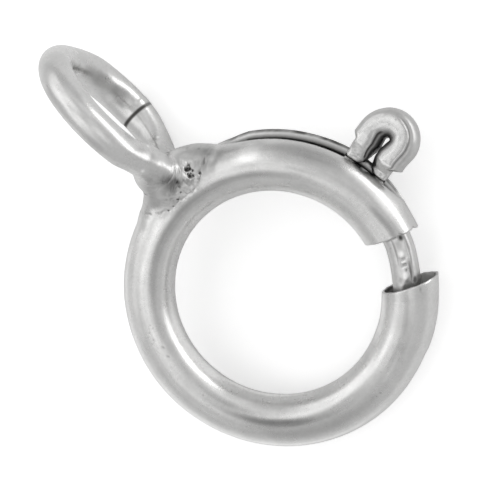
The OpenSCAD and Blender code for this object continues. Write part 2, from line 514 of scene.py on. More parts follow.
# hollow tube of the ring
tube = {
    "stations": 370,
    "arcPoints": 89,        # an odd number, so that the bore takes every second one
    "lipPoints": 4,
    "slotFrom": -94.0,
    "slotTo": -21.0,
    "slotHalf": 0.15,
    "slotTaper": 11.0,      # degrees over which the slot opens at each end
    "lipRound": 3.0,        # degrees that the lips' edges stand into the slot
    "lipExtra": 0.058,      # the back lip is thicker than the wall
    "gapAt": -113.3,
    "gapWidth": 0.94,
    "gapSkew": 2.9,
    "rimBulge": 0.012,
    "mouthWall": 0.055,     # thickness that the wall is worn to at both mouths
    "mouthTurn": 9.0,       # degrees over which it is worn
    "burr": 0.012,
    "burrTurn": 1.6,        # degrees from the cut that the burrs reach
    "cutTurn": 7.0,         # degrees over which the sections turn into the cut's direction
    "notches": ((66, 6, 4, 1.3), (24, 7, 2, 0.7)),  # place round the section, half width, power, depth
    "litUpper": 5,          # degrees of the bore that are lit beside each mouth
    "litLower": 6,
    "rimRows": 3,
    "rimDark": 0.12,        # share of the bore's painted shade on the rims
    "dentSize": 1.3,
    "dentDepth": 0.006,
    "ripple": 0.0015,
}
lipRise = np.array([  # angle round the ring, how far the back lip stands out
    (-103, 0.010), (-97, 0.024), (-94, 0.045), (-91, 0.055), (-88, 0.075), (-80, 0.12), (-70, 0.15),
    (-40, 0.15), (-33, 0.15), (-30, 0.124), (-27, 0.088), (-23, 0.06), (-19, 0.03), (-15, 0.0),
])
mouthFlare = np.array([  # up to the lower mouth: angle, shift of the tube outwards, gain of its radius
    (200, 0.0, 0.0), (209, 0.006, 0.003), (212.3, 0.02, 0.010), (218.5, 0.03, 0.013), (224.6, 0.036, 0.016),
    (230.7, 0.042, 0.018), (233.7, 0.052, 0.026), (236.5, 0.062, 0.034),
])


def mouthAngle(radius, side):
    # where a straight cut beside the gap's middle crosses a circle of that radius
    skew = np.radians(tube["gapSkew"])
    offset = side * tube["gapWidth"] / 2 - ring["radius"] * np.sin(skew)
    return tube["gapAt"] + tube["gapSkew"] + np.degrees(np.arcsin(offset / radius))


upperMouth = mouthAngle(ring["radius"], 1)
lowerMouth = mouthAngle(ring["radius"], -1) + 360


def mouthShares(angle, reach):
    # for the upper and for the lower mouth: one at its edge, nought beyond that many degrees from it
    return 1 - ease(angle, upperMouth, upperMouth + reach), ease(angle, lowerMouth - reach, lowerMouth)


def stationAngles():
    # closer together at the solder and at both mouths
    fine = np.linspace(-104, 237, 4000)
    density = 1 + 2.2 * hill(fine, 22, 6) + 1.2 * hill(fine + 97, 9, 4) + 1.2 * hill(fine - 234, 6, 4)
    total = np.cumsum(density)
    inner = (fine >= upperMouth) & (fine <= lowerMouth)
    total = (total[inner] - total[inner][0]) / np.ptp(total[inner])
    return np.interp(np.linspace(0, 1, tube["stations"]), total, fine[inner])


def ringTubeMesh():
    # section loop: outer arc from the near lip over the front to the back lip, round it, and back inside
    # the bore; the two lips part along the slot and are welded elsewhere
    angle = stationAngles()[:, None]
    rows = len(angle)
    taper = tube["slotTaper"]
    opened = np.sqrt(ease(angle, tube["slotFrom"], tube["slotFrom"] + taper))
    opened = opened * np.sqrt(ease(-angle, -tube["slotTo"], -tube["slotTo"] + taper))
    lipAngle = np.degrees(np.arcsin(tube["slotHalf"] * opened / ring["tube"]))
    arcs, lips = tube["arcPoints"], tube["lipPoints"]
    outerArc = lipAngle + np.linspace(0, 1, arcs)[None] * (360 - 2 * lipAngle)
    boreArc = outerArc[:, ::-2]
    t = np.linspace(0, 1, lips + 2)[None, 1:-1]
    over = np.concatenate([outerArc, 360 - lipAngle + 0 * t, boreArc, lipAngle + 0 * t], 1)
    share = np.concatenate([0 * outerArc, t + 0 * angle, 0 * boreArc + 1, 1 - t + 0 * angle], 1)
    columns = over.shape[1]
    column = np.arange(columns)
    nearLip = column >= columns - lips
    worn = np.maximum(*mouthShares(angle, tube["mouthTurn"]))
    wall = ring["wall"] + worn * (tube["mouthWall"] - ring["wall"])
    wall = wall + tube["lipExtra"] * opened * ease(over, 300, 338) * ~nearLip
    over = over + np.sin(np.pi * share) * np.where(nearLip, -1, 1) * opened * tube["lipRound"]

    # where the slot is open only its back lip stands out; where it ends both sides rise together
    signed = (over + 180) % 360 - 180
    back, front = signed <= 0, signed > 0
    shut = (1 - opened) ** 2
    whereShut = np.maximum(ease(signed, -85, 0) * back, ease(-signed, -38, 0) * front)
    whereOpen = ease(signed, -85, -16) * back + ease(-signed, -38, -1) * front * shut
    whereOpen = np.where(nearLip | (column < 3), shut, whereOpen)
    angle = np.broadcast_to(angle, over.shape)
    lifted = np.interp(angle, lipRise[:, 0], lipRise[:, 1]) * np.where(opened == 0, whereShut, whereOpen)

    flareShift, flareGrow = (np.interp(angle, mouthFlare[:, 0], mouthFlare[:, i]) for i in (1, 2))
    tubeRadius = ring["tube"] + flareGrow - wall * share
    turn = np.radians(over)
    radial = ring["radius"] + flareShift + tubeRadius * np.cos(turn) + lifted
    height = tubeRadius * np.sin(turn)

    # the cuts are straight, with small burrs and two notches in the upper mouth
    up, down = mouthShares(angle, tube["cutTurn"])
    atUp, atDown = mouthShares(angle, tube["burrTurn"])
    notches = sum(deep * hill(over - at, half, power) for at, half, power, deep in tube["notches"])
    rag = np.degrees(tube["burr"] / ring["radius"]) * latticeNoise(polar(1.0, over), 0.16, 31)
    angle = angle + up * (mouthAngle(radial, 1) - upperMouth) + atUp * (notches + rag)
    angle = angle + down * (mouthAngle(radial, -1) + 360 - lowerMouth) + atDown * rag

    base = polar(radial, angle, height)
    points = base.reshape(-1, 3)
    quads = gridFaces(rows, columns, closeColumns=True)
    row, along = quads[:, 0] // columns, quads[:, 0] % columns
    onLip = (along >= arcs - 1) & (along < arcs + lips) | (along >= columns - lips - 1)
    openRow = opened[:, 0] > 0
    faces = [quads[~onLip | openRow[row] | openRow[np.minimum(row + 1, rows - 1)]]]

    # painted shade in the bore, lighter next to the mouths
    lit = np.maximum(mouthShares(angle, tube["litUpper"])[0], mouthShares(angle, tube["litLower"])[1])
    inside = ease(share, 0.3, 1.0) * (1 - lit * (0.42 + 0.22 * latticeNoise(base, 0.11, 32)))

    # rounded rims at both mouths, from the outer arc to the bore's arc with half as many points
    rimRows = tube["rimRows"]
    extra = []
    for row, facing in ((0, -1), (rows - 1, 1)):
        outerLoop = base[row, :arcs]
        boreLoop = base[row, arcs + lips:columns - lips][::-1]
        boreFull = np.repeat(boreLoop, 2, 0)[:-1]
        boreFull[1::2] = (boreLoop[:-1] + boreLoop[1:]) / 2
        cut = polar(1.0, tube["gapAt"] + tube["gapSkew"] + 90) * facing
        s = np.linspace(0, 1, rimRows + 2)[1:-1, None, None]
        loops = outerLoop + s * (boreFull - outerLoop) + tube["rimBulge"] * np.sin(np.pi * s) ** 0.6 * cut
        start = len(points) + sum(len(e) for e in extra)
        ids = np.concatenate([row * columns + np.arange(arcs), start + np.arange(rimRows * arcs)])
        extra.append(loops.reshape(-1, 3))
        faces.append(ids[gridFaces(rimRows + 1, arcs)])
        inner = ids[-arcs:]
        even, odd, nextEven = inner[:-1:2], inner[1::2], inner[2::2]
        bore = row * columns + np.arange(columns - lips - 1, arcs + lips - 1, -1)
        for corners in ((even, odd, bore[:-1]), (odd, nextEven, bore[1:]), (odd, bore[1:], bore[:-1])):
            faces.append(np.stack(corners, -1))
    points = np.concatenate([points] + extra)
    dark = np.concatenate([inside.reshape(-1), np.full(len(points) - angle.size, tube["rimDark"])])
    return buildMesh("ringTube", points, faces, {"bore": dark})


def attachmentEyeMesh():
    # a ring of round wire standing across the tube, its foot drawn out into the solder
    fine = np.linspace(180, 540, 6000)
    toFoot = np.minimum(fine - 180, 540 - fine)
    total = np.cumsum(1 + 1.6 * (1 - ease(toFoot, 30, 60)) + 9 * hill(fine - eye["jointAt"], 2.0))
    phi = np.interp(np.linspace(0, total[-1], eye["stations"] + 1)[:-1], total, fine)[:, None]
    columns = eye["columns"]
    around = np.linspace(0, 360, columns, endpoint=False)[None]
    turn, ahead = np.radians(around), np.radians(phi)

    # the joint's groove is deepest on the inside; the wire is worn beside it and steps sideways behind it
    fromJoint = phi - eye["jointAt"]
    inward = ease(-np.cos(turn) + 0.35 * np.sin(turn), -0.9, 0.6)
    groove = hill(fromJoint / eye["jointWidth"], 0.35 + 0.65 * inward, 4)
    groove = groove * (1 - 0.75 * ease(-np.sin(turn), 0.55, 1.0))
    wire = eye["wire"] - groove * eye["jointDepth"] * (0.12 + 0.88 * inward) - 0.006 * hill(fromJoint, 4.0)
    across = wire * np.sin(turn)
    across = across * eyeBreadth(phi % 360, across) + eye["step"] * window(fromJoint, -1, 0, 20, 60)
    reach = eye["radius"] + wire * np.cos(turn)
    x, z = eye["centre"] + reach * np.cos(ahead), reach * np.sin(ahead)
    base = np.stack(np.broadcast_arrays(x, across, z), -1)
    base[..., 1] += eyeShift(base)
    base[..., 0] = np.maximum(base[..., 0], ring["radius"] + ring["tube"] - ring["wall"] * eye["sink"])
    faces = [gridFaces(len(phi), columns, True, True)]
    return buildMesh("attachmentEye", base.reshape(-1, 3), faces, {"bore": np.zeros(base.size // 3)})


def splitFaces(shell, inside):
    # halves each edge with both ends inside the zone, for finer detail there
    edges = [e for e in shell.edges if inside[e.verts[0].index] and inside[e.verts[1].index]]
    bmesh.ops.subdivide_edges(shell, edges=edges, cuts=1, use_grid_fill=True)


paintedLightPatches = [  # painted highlights and painted shade: angles round the ring and round the tube, half widths, amount
    (82, 160, 27, 18, 1.3), (-22, 46, 9, 22, -0.85), (-57, 44, 13, 21, -0.8), (-86, 40, 15, 16, 0.12),
    (-33, 56, 6, 22, 0.95), (2, 94, 52, 7, 0.5), (-20, 107, 80, 6, -0.65), (138, 103, 20, 10, -0.85),
    (158, 86, 40, 20, -0.75), (215, 94, 22, 11, -0.55), (60, 76, 45, 7, -0.4), (60, 97, 45, 6, 0.35),
    (100, 46, 95, 14, 0.2), (-85, 80, 22, 6, -0.4), (20, 150, 60, 14, 0.15), (178, 130, 24, 8, 0.3),
    (220, 120, 25, 8, 0.15), (222, 60, 20, 22, 0.1), (128, 181, 27, 9, 1.3), (96, 172, 13, 14, 1.2),
    (-94, 33, 12, 14, -0.2), (-104, 52, 6, 12, -0.6), (-62, 62, 16, 9, -0.6), (165, 106, 45, 10, -0.9),
    (80, 85, 42, 9, -0.55), (78, 54, 55, 19, 0.85), (20, 115, 42, 9, -0.75), (5, 141, 42, 8, 0.6),
    (-82, 148, 34, 18, 1.0), (-36, 83, 26, 6, 0.75), (-96, 79, 8, 8, -0.9), (-92, 59, 10, 6, 0.9),
    (-33, 101, 18, 7, -0.5), (-15, 46, 7, 24, -0.6), (222, 152, 16, 12, 1.2), (223, 82, 16, 7, -0.7),
    (202, 138, 26, 9, 0.5), (216, 122, 14, 10, 0.5), (138, 41, 42, 7, 0.9), (115, 138, 14, 8, 0.65),
    (112, 123, 14, 8, -0.55), (72, 135, 12, 5, -0.6), (16, 100, 24, 7, 0.45), (-34, 34, 6, 12, -0.5),
    (-35, 68, 9, 9, 0.45),
]
scratches = [  # knocks in the tube: start, end, half width, depth, darkness
    ((-1.5, -2.31, 0.49), (-1.66, -2.24, 0.46), 0.014, 0.012, 0.45),
    ((0.66, 2.23, 0.47), (0.66, 2.24, 0.47), 0.022, 0.01, 0.5),
    ((0.46, 2.28, 0.47), (0.47, 2.28, 0.47), 0.018, 0.008, 0.45),
    ((0.24, 2.37, 0.49), (0.25, 2.37, 0.49), 0.016, 0.008, 0.4),
    ((-0.68, -2.88, 0.21), (-0.7, -2.86, 0.16), 0.022, 0.01, 0.8),
    ((1.1, -1.98, 0.4), (1.12, -1.95, 0.37), 0.01, 0.006, 0.3),
]
eyePaintedLightSpots = [  # painted highlights, glints and painted shade on the eye: place, radius, amount
    (5.02, -0.01, -1.03, 0.17, -0.95), (5.19, -0.02, -0.94, 0.13, -0.6), (4.86, 0.1, -1.07, 0.1, -0.7),
    (5.45, -0.02, -0.71, 0.22, -0.45), (5.62, -0.02, -0.42, 0.15, -0.45), (5.1, 0.185, -0.98, 0.09, 0.6),
    (4.6, 0.1, -1.09, 0.09, 0.2), (5.8, -0.19, 1.1, 0.3, -0.3), (4.1, 0.25, 1.6, 0.25, -0.45),
    (3.6, 0.3, 1.25, 0.25, -0.45), (4.05, -0.3, -1.15, 0.22, 0.4), (4.15, 0.1, -1.0, 0.13, 0.25),
    (3.88, -0.02, -0.84, 0.07, -0.9), (6.0, 0.0, 0.6, 0.3, 0.2), (3.5, -0.28, 1.18, 0.11, -0.8),
    (3.33, -0.31, 1.05, 0.11, -0.9), (3.87, -0.34, 1.21, 0.12, -0.7), (4.18, 0.12, -1.03, 0.12, -0.55),
    (4.05, 0.11, -0.96, 0.1, -0.35), (3.2, -0.32, 0.93, 0.1, -0.4), (3.55, -0.39, 0.96, 0.03, 1.3),
    (3.85, -0.05, -0.88, 0.035, 1.8), (3.27, -0.06, 1.13, 0.035, 1.2), (5.69, -0.02, 0.1, 0.16, 1.2),
    (5.68, 0.0, -0.2, 0.12, 0.9), (5.3, 0.25, 1.45, 0.2, -0.35),
]


def oval(x, halfX, y, halfY):
    # one in the middle of an oval, falling off with the fourth power of the distance
    return np.exp(-((x / halfX) ** 2 + (y / halfY) ** 2) ** 2)


def tubeAngle(p):
    # angle round the tube's section, from outermost over the front
    return np.degrees(np.arctan2(p[:, 2], ringOut(p)))


def bodyPaintedLight(points):
    # soft patches of painted shade below nought and of painted highlight above
    angle = ringAngle(points)
    over = tubeAngle(points) % 360
    warp = latticeNoise(points, 0.5, 41)
    total = np.zeros(len(points))
    for at, overAt, halfAlong, halfOver, amount in paintedLightPatches:
        off = (angle - at + 180) % 360 - 180
        total += amount * oval(off + 3 * warp, halfAlong, over - overAt + 2 * warp, halfOver)
    return np.clip(total, *paintedLightRange)


def eyePaintedLight(points):
    # painted highlights and painted shade on the eye, in soft round spots
    total = np.zeros(len(points))
    for x, y, z, size, amount in eyePaintedLightSpots:
        total += amount * hill(np.linalg.norm(points - (x, y, z), axis=1), size, 3)
    return total


def lipShade(points):
    # the back lip of the slot is darkened unevenly, most behind the tab, where the darkening is painted shade
    # between the tab's feet
    angle = ringAngle(points)
    over = tubeAngle(points)
    band = window(over, -42, -22, -9, -5) * window(angle, -100, -88, -26, -18)
    besideTab = hill(angle - bolt["tabAt"], 3.5, 4) * ease(over, -30, -18)
    mottle = 0.34 * latticeNoise(points, 0.12, 21) + 0.2 * latticeNoise(points, 0.04, 22)
    return band * (0.66 + mottle + 0.6 * besideTab)


def ringBodyMesh():
    # tube and eye made one, their corner drawn out into solder, then worn, dented and pitted a little
    mesh = uniteMeshes("ringBody", ringTubeMesh(), attachmentEyeMesh())
    points = readPoints(mesh)
    fine = (np.abs(ringAngle(points) + 1) < 17) & (points[:, 2] > -0.25) & (points[:, 0] < 4.0)
    fine &= (tubeDistance(points) > -0.02) & (eyeDistance(points) < 0.6)
    editMesh(mesh, lambda shell: splitFaces(shell, fine))
    points = readPoints(mesh)
    onEye = (points[:, 0] > 2.6) & (np.abs(points[:, 1]) < 0.5)
    onEye &= eyeDistance(points) < tubeDistance(points)
    # the bore's painted shade, nought on the eye
    bore = readRows(mesh.attributes["bore"].data, "value", 1)[:, 0] * ~onEye
    outside = bore < 0.01

    # straightened place along the tube, or along the eye, whose lengths are counted from another start
    around = np.radians((ringAngle(points) - tube["gapAt"]) % 360) * ring["radius"]
    run = np.stack([around, ringOut(points), points[:, 2]], -1)
    inEye, eyeAngle = eyePolar(points)
    eyeRun = np.stack([np.radians(eyeAngle) * eye["radius"] + 30, inEye, points[:, 1]], -1)
    run[onEye] = eyeRun[onEye]

    moved = flowToSolder(points, readRows(mesh.edges, "vertices", 2, np.int32))
    writePoints(mesh, moved)
    texture, rough, dirtAndShade = solderTexture(moved)
    for start, end, size, deep, dark in scratches:
        share = hill(lineDistance(moved, start, end)[0], size, 2.5) * outside
        texture = texture - deep * share
        dirtAndShade = np.maximum(dirtAndShade, dark * share)
    fromJoint = eyePolar(moved)[1] % 360 - eye["jointAt"]
    inward = ease(-inEye + 0.35 * moved[:, 1], -0.28, 0.16)
    joint = onEye * hill(fromJoint / eye["jointWidth"], 0.4 + 0.7 * inward, 4) * ease(inward, 0.0, 0.5)
    joint = joint * (1 - 0.5 * ease(-moved[:, 1], 0.16, 0.32))
    dents = tube["dentDepth"] * latticeNoise(moved, tube["dentSize"], 1)
    height = dents + tube["ripple"] * latticeNoise(moved, 0.35, 2) + texture * outside
    writePoints(mesh, moved + readPoints(mesh, "normal") * height[:, None])
    # painted highlights and painted shade on the bare tube, on the solder and on the eye; the solder is also
    # toned a little duller
    bareTube = ~onEye * (1 - ease(tubeDistance(moved), 0.01, 0.05))
    paintedLightAndTone = bodyPaintedLight(points) * bareTube + solderToneAndPaintedLight(moved) + eyePaintedLight(moved) * onEye
    lip = lipShade(moved) * (bore < 0.05)
    marks = {
        "run": run,
        "bore": bore,
        "rough": rough * outside,
        "dirtAndShade": np.maximum(np.maximum(dirtAndShade * outside, joint), lip),
        "paintedLightAndTone": np.clip(paintedLightAndTone, *paintedLightRange) * outside,
    }
    for key, values in marks.items():
        writeMark(mesh, key, values)
    return mesh


# the bolt: one wire from the tongue's tip, up one foot, round the tab and down the other
bolt = {
    "tipAt": -142.0,
    "tabAt": -76.7,
    "twist": -17.0,
    "wire": 0.26,
    "headHalf": 0.585,      # half the head's width
    "loopAt": 3.612,
    "headShift": -0.046,    # the head leans this far along the tube
    "loopRadius": 0.32,
    "footAt": 0.31,
    "legOuter": 0.13,       # the wire's reach in a leg: outwards, to the front and to the back
    "legFront": 0.125,
    "legBack": 0.115,
    "headThick": 0.25,
    "frontOver": (2.965, 3.03),     # distances from the ring's middle over which each change comes about
    "backOver": (3.2, 3.3),
    "nearShoulder": (3.21, 3.31),
    "farShoulder": (3.3, 3.43),
    "twistOver": (3.08, 3.32),
    "shiftOver": (3.15, 3.95),
    "tipRound": 0.24,       # lengths over which both ends are rounded
    "tailRound": 0.05,
    "columns": 88,
    "bulge": 0.07,          # the tongue stands out a little where it leaves the upper mouth
    "bulgeAt": -25.0,
    "bulgeTurn": 13,
    "smoothing": 9,         # spread of the rounding of its bends, in steps of 0.004
    "flatAt": 80.0,         # direction round the wire that the worn flat of the tongue faces
    "flatDepth": 0.022,
}


def boltPath():
    # flat route in the tab's own plane (out, along): tongue arc, bend, foot, loop, foot
    start = bolt["tipAt"] - bolt["tabAt"]
    angle = np.linspace(start, -13.0, 160)
    bulge = bolt["bulge"] * hill(angle - bolt["bulgeAt"], bolt["bulgeTurn"])
    tongue = polar(ring["radius"] + bulge, angle)[:, :2]
    foot = bolt["footAt"]
    straight = [(out, -foot) for out in (2.66, 2.85, 3.05, 3.3, 3.49)]
    rising = np.array([(2.47, -0.44), (2.54, -0.35)] + straight)
    loop = (bolt["loopAt"], 0) + polar(bolt["loopRadius"], np.linspace(-90, 90, 60))[:, :2]
    falling = np.concatenate([(rising * (1, -1))[::-1][:5], [(2.5, foot), (2.3, foot)]])
    rough = np.concatenate([tongue, rising, loop, falling])
    steps = pathLengths(rough)
    lengths = np.arange(0, steps[-1], 0.004)
    dense = np.stack([np.interp(lengths, steps, rough[:, i]) for i in (0, 1)], -1)
    reach = np.arange(1, 3 * bolt["smoothing"] + 1)[:, None]
    kernel = np.exp(-0.5 * (np.arange(-len(reach), len(reach) + 1) / bolt["smoothing"]) ** 2)
    kernel = kernel / kernel.sum()
    before = dense[:1] - (dense[1] - dense[0]) * reach[::-1]
    after = dense[-1:] + (dense[-1] - dense[-2]) * reach
    padded = np.concatenate([before, dense, after])
    return np.stack([np.convolve(padded[:, i], kernel, "valid") for i in (0, 1)], -1), lengths


def superSection(wide, thick, power, columns):
    # superellipse: both shares of the angle raised to 2 / power, each of the three given for its two sides
    turn = np.linspace(0, 2 * np.pi, columns, endpoint=False)
    c, s = np.cos(turn), np.sin(turn)
    right, top = c > 0, s > 0

    def pick(first, pair):
        return np.where(first, pair[0][:, None], pair[1][:, None])

    bend = 2 / pick(right, power)
    across = pick(right, wide) * np.sign(c) * np.abs(c) ** bend
    up = pick(top, thick) * np.sign(s) * np.abs(s) ** bend
    return np.stack([across, up], -1)


def roundSection(radius, columns):
    return superSection((radius, radius), (radius, radius), (0 * radius + 2, 0 * radius + 2), columns)


legGap = np.array([  # distance from the ring's middle, half of the gap between both legs
    (2.6, 0.17), (2.98, 0.16), (3.02, 0.12), (3.08, 0.06), (3.2, 0.036), (3.34, 0.026), (3.42, 0.014),
    (3.5, 0.03), (3.62, 0.045),
])
knocksAndPaintedLight = [  # knocks on the tongue: degrees from the tab and from the flat's middle, half widths, depth, dark; a dark below nought is a painted highlight, and the thin ring of dark at the mouth is painted shade
    (-31.5, 25, 7.0, 3.2, 0.01, 0.6), (-33.0, -27, 6.5, 4.0, 0.01, 0.45),
    (-41.8, -19, 4.0, 6.0, 0.014, 0.8), (-26.8, 10, 0.5, 50, 0.0, 0.5), (-27.8, -14, 1.2, 10, 0.01, 1.0),
    (-30.0, 4, 1.8, 16, 0.004, 0.22), (-37.0, 19, 2.2, 3.0, 0.01, 0.35),
    (-38.5, 2, 0.45, 14, 0.012, 0.45), (-35.9, 3, 0.4, 13, 0.01, 0.38), (-34.0, 4, 1.5, 14, -0.007, -1.0),
    (-37.2, 1, 0.7, 12, -0.007, -1.0), (-43.0, 6, 2.2, 13, -0.008, -1.0),
    (-39.6, 4, 0.7, 13, -0.006, -0.8), (-40.9, -2, 0.6, 5.0, 0.01, 0.5),
    (-45.5, -30, 1.2, 8.0, 0.006, 0.45), (-32.0, 62, 16, 9.0, 0.0, -0.4),
    (-45.0, 30, 1.5, 10, 0.006, 0.3),
]


def wornTongue(points):
    # the front of the tongue is worn flat, knocks dent and darken it, and it carries painted highlights and
    # painted shade
    angle = ringAngle(points)
    out = ringOut(points) - bolt["bulge"] * hill(angle - bolt["bulgeAt"], bolt["bulgeTurn"])
    size = np.hypot(out, points[:, 2])
    off = np.degrees(np.arctan2(points[:, 2], out)) - bolt["flatAt"]
    here = (angle < -16) & (out > -0.4)
    wear = window(-angle, 20, 24, 48, 52) * here
    flat = (bolt["wire"] - bolt["flatDepth"]) / np.maximum(np.cos(np.radians(off)), 0.5)
    depth = wear * np.maximum(size - flat, 0) * (np.abs(off) < 60)
    scoredAndShaded, paintedLightAndTone = np.zeros((2, len(points)))
    for at, offAt, halfAlong, halfOver, deep, dark in knocksAndPaintedLight:
        share = oval(angle - at, halfAlong, off - offAt, halfOver) * here
        depth = depth + deep * share
        scoredAndShaded = np.maximum(scoredAndShaded, dark * share)
        # a knock with its dark below nought gets a painted highlight
        paintedLightAndTone = np.maximum(paintedLightAndTone, -1.3 * dark * share)
    push = depth / np.maximum(size, 0.02)
    middle = points * (1, 1, 0) - polar(out, angle)
    # painted shade to one side of the worn flat and a faint painted highlight over it
    paintedLightAndTone = paintedLightAndTone - 0.5 * hill(off + 38, 14, 4) * wear + 0.25 * hill(off - 5, 90, 4) * wear
    satin = (0.3 + 0.7 * ease(np.abs(off), 20, 30)) * ease(-angle, 18, 22) * here
    return points - (points - middle) * push[:, None], scoredAndShaded, paintedLightAndTone, satin


def boltWireMesh():
    # every fifth point of the route in the tongue and every third one in the tab
    route, lengths = boltPath()
    last = len(route) - 1
    loopStart = np.argmax(route[:, 0] > 2.9)
    picked = np.unique(np.concatenate([np.arange(0, loopStart, 5), np.arange(loopStart, last, 3), [last]]))
    ahead = unit(np.gradient(route, axis=0))[picked]
    out, along = route[picked].T
    lengths = lengths[picked]
    shift = bolt["headShift"] * ease(out, *bolt["shiftOver"])
    twist = np.radians(bolt["twist"]) * ease(out, *bolt["twistOver"])
    c, s = np.cos(twist), np.sin(twist)
    path = np.stack([out, (along + shift) * c, (along + shift) * s], -1)
    tangent = np.stack([ahead[:, 0], ahead[:, 1] * c, ahead[:, 1] * s], -1)
    over = np.stack([0 * out, -s, c], -1)
    side = np.cross(over, tangent)

    # the wire is round in the tongue, thin in both legs and full in the head; the near leg is next to the gap
    arc = np.degrees(np.arctan2(along, out))
    near = along < 0
    leg = np.where(near & (out < 2.72), ease(arc, -17.0, -11.0), 1.0)
    shoulder = np.where(near, ease(out, *bolt["nearShoulder"]), ease(out, *bolt["farShoulder"]))
    inner = np.abs(along) - np.interp(out, legGap[:, 0], legGap[:, 1])
    inner = np.where(out > bolt["loopAt"], bolt["loopRadius"] - legGap[-1, 1], inner)
    outer = bolt["legOuter"] + shoulder * (bolt["headHalf"] - bolt["loopRadius"] - bolt["legOuter"])
    front = bolt["legFront"] + (bolt["headThick"] - bolt["legFront"]) * ease(out, *bolt["frontOver"])
    back = bolt["legBack"] + (bolt["headThick"] - bolt["legBack"]) * ease(out, *bolt["backOver"])
    innerPower = 2.0 + 1.2 * leg * (1 - ease(out, 3.25, 3.6)) * np.where(near, 0.3, 1.0)
    outerPower = 2.0 + 0.5 * leg + 1.2 * leg * (1 - ease(out, 3.2, 3.4))
    tip = 1 - (1 - np.clip((lengths - lengths[0]) / bolt["tipRound"], 0, 1)) ** 2
    tail = 1 - (1 - np.clip((lengths[-1] - lengths) / bolt["tailRound"], 0, 1)) ** 2
    ends = np.sqrt(np.clip(tip, 0.0004, 1)) * np.sqrt(np.clip(tail, 0.01, 1))
    wire = bolt["wire"]
    inner, outer, front, back = ((wire + leg * (v - wire)) * ends for v in (inner, outer, front, back))
    sections = superSection((inner, outer), (front, back), (innerPower, outerPower), bolt["columns"])

    # pressed-in lines along the outer front edge of the head and inside the leg away from the gap
    column = np.linspace(0, 360, bolt["columns"], endpoint=False)[None]
    headAngle = np.degrees(np.arctan2(along, out - bolt["loopAt"]))[:, None]
    crease = hill(column - 121, 6) * ease(-headAngle, -15, 20) * ease(out, 3.22, 3.3)[:, None]
    innerCrease = hill(column - 48, 5) * ease(headAngle, 40, 75) * ease(out, 3.1, 3.2)[:, None]
    sections = sections * (1 - 0.11 * crease - 0.07 * innerCrease)[..., None]

    # waves and wear, then the turn to the tab's place round the ring
    points, faces = sweep(path, side, over, sections)
    normal = points - np.concatenate([np.repeat(path, bolt["columns"], 0), path[:1], path[-1:]])
    size = np.linalg.norm(normal, axis=1, keepdims=True)
    normal = normal / np.maximum(size, 1e-6)
    foot = window(points[:, 0], 2.98, 3.06, 3.14, 3.26)
    waves = 0.0035 * latticeNoise(points, 0.22, 11) + 0.0015 * latticeNoise(points, 0.08, 12)
    waves = waves + foot * 0.009 * latticeNoise(points, 0.06, 13)
    points = points + normal * (waves * (size[:, 0] > 0.05))[:, None]
    points, scoredAndShaded, paintedLightAndTone, satin = wornTongue(points)
    points = points @ np.stack([polar(1.0, bolt["tabAt"]), polar(1.0, bolt["tabAt"] + 90), (0, 0, 1)])

    # painted shade between the legs and in the pressed-in lines; the head's outer band is satin, with a
    # little painted shade
    inside = ease(np.cos(np.radians(column)), 0.15, 0.95) * ease(out, 2.95, 3.0)[:, None]
    dirtAndShade = np.clip(0.75 * inside + 0.55 * crease + 0.5 * innerCrease, 0, 1)
    dirtAndShade = np.append(dirtAndShade, [0, 0]) + scoredAndShaded
    dirtAndShade = np.clip(dirtAndShade + foot * 0.25 * ease(latticeNoise(points, 0.05, 14), 0.0, 0.8), 0, 1)
    band = np.append(window(column, 108, 122, 232, 250) * ease(out, 3.1, 3.3)[:, None], [0, 0])
    rough = np.maximum(0.5 * dirtAndShade, np.maximum(satin, band))
    marks = {"dirtAndShade": dirtAndShade, "rough": rough, "bore": 0 * dirtAndShade, "paintedLightAndTone": paintedLightAndTone - 0.35 * band}
    marks["run"] = runMark(lengths, sections)
    return buildMesh("boltWire", points, faces, marks)


# the coil spring and its stop, hidden in the bore
spring = {
    "from": -64.2,
    "to": 96.2,
    "gap": 1.0,             # degrees from the coil's ends to two places worked out beyond them
    "coil": 0.28,
    "wire": 0.046,
    "turns": 27,
    "steps": 26,
    "sides": 8,
    "stopAt": 100.0,
    "stopHalf": 0.125,
    "stopSides": 48,
}


def coilSpringMesh():
    # a helix wound round the middle of the tube
    count = spring["turns"] * spring["steps"] + 1
    share = np.linspace(0, 1, count)
    angle = spring["from"] + share * (spring["to"] - spring["from"])
    wind = 2 * np.pi * spring["turns"] * share
    radial = ring["radius"] + spring["coil"] * np.cos(wind)
    path = polar(radial, angle, spring["coil"] * np.sin(wind))
    side = polar(np.cos(wind), angle, np.sin(wind))
    over = np.cross(unit(np.gradient(path, axis=0)), side)
    sections = roundSection(np.full(count, spring["wire"]), spring["sides"])
    points, faces = sweep(path, side, over, sections)
    return buildMesh("coilSpring", points, faces, {"run": runMark(pathLengths(path), sections)})


def springStopMesh():
    # a short plug with rounded edges across the bore
    half = spring["stopHalf"]
    share = np.linspace(-1, 1, 13)
    angle = spring["stopAt"] + np.degrees(half / ring["radius"]) * share
    size = (ring["tube"] - ring["wall"]) * (0.9 + 0.095 * (1 - share ** 8))
    sections = roundSection(size, spring["stopSides"])
    over = np.tile([0.0, 0.0, 1.0], (len(share), 1))
    points, faces = sweep(polar(ring["radius"], angle), polar(1.0, angle), over, sections)
    return buildMesh("springStop", points, faces, {"run": runMark(half * share, sections)})


ringBody = seatPiece(ringBodyMesh(), "ring", ["body_ring"])
springStop = seatPiece(springStopMesh(), "ring", ())
boltWire = seatPiece(boltWireMesh(), "bolt", ["bolt"])
coilSpring = seatPiece(coilSpringMesh(), None, ["coil_spring"])
springEnds = np.array([spring["from"] - spring["gap"], spring["to"] + spring["gap"]])
start, end = place(polar(ring["radius"], springEnds)).tolist()
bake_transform(coilSpring)


